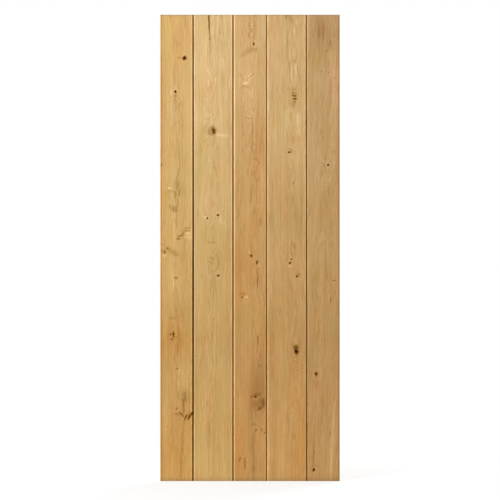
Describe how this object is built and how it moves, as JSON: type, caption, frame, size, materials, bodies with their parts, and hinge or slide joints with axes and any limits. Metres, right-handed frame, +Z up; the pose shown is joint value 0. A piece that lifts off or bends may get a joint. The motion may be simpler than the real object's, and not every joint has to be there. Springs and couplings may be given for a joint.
{
  "type": "ledged oak door",
  "caption": "Bare door leaf of tongued and grooved, V-jointed oak boards, held flat by bevelled ledges that are screwed on from behind under oak pellets.",
  "frame": {"origin": "on the bottom edge of the leaf, at the middle of its width and of its whole thickness", "axes": "+Z up the leaf, +X to the right as the boarded face is seen, +Y through the leaf from the boarded face to the ledges"},
  "size_m": [0.762, 0.04, 1.981],
  "materials": {
    "board_oak": "planed and oiled knotty oak, satin",
    "ledge_oak": "planed and oiled oak, satin",
    "pellet_oak": "oak pellet planed flush, satin",
    "screw_steel": "zinc plated, satin"
  },
  "bodies": {
    "root": {"board_1": "board_oak", "board_2": "board_oak", "board_3": "board_oak", "board_4": "board_oak", "board_5": "board_oak", "top_ledge": "ledge_oak", "middle_ledge": "ledge_oak", "bottom_ledge": "ledge_oak", "top_ledge_screws": "screw_steel", "middle_ledge_screws": "screw_steel", "bottom_ledge_screws": "screw_steel", "top_ledge_pellets": "pellet_oak", "middle_ledge_pellets": "pellet_oak", "bottom_ledge_pellets": "pellet_oak"}
  },
  "joints": []
}
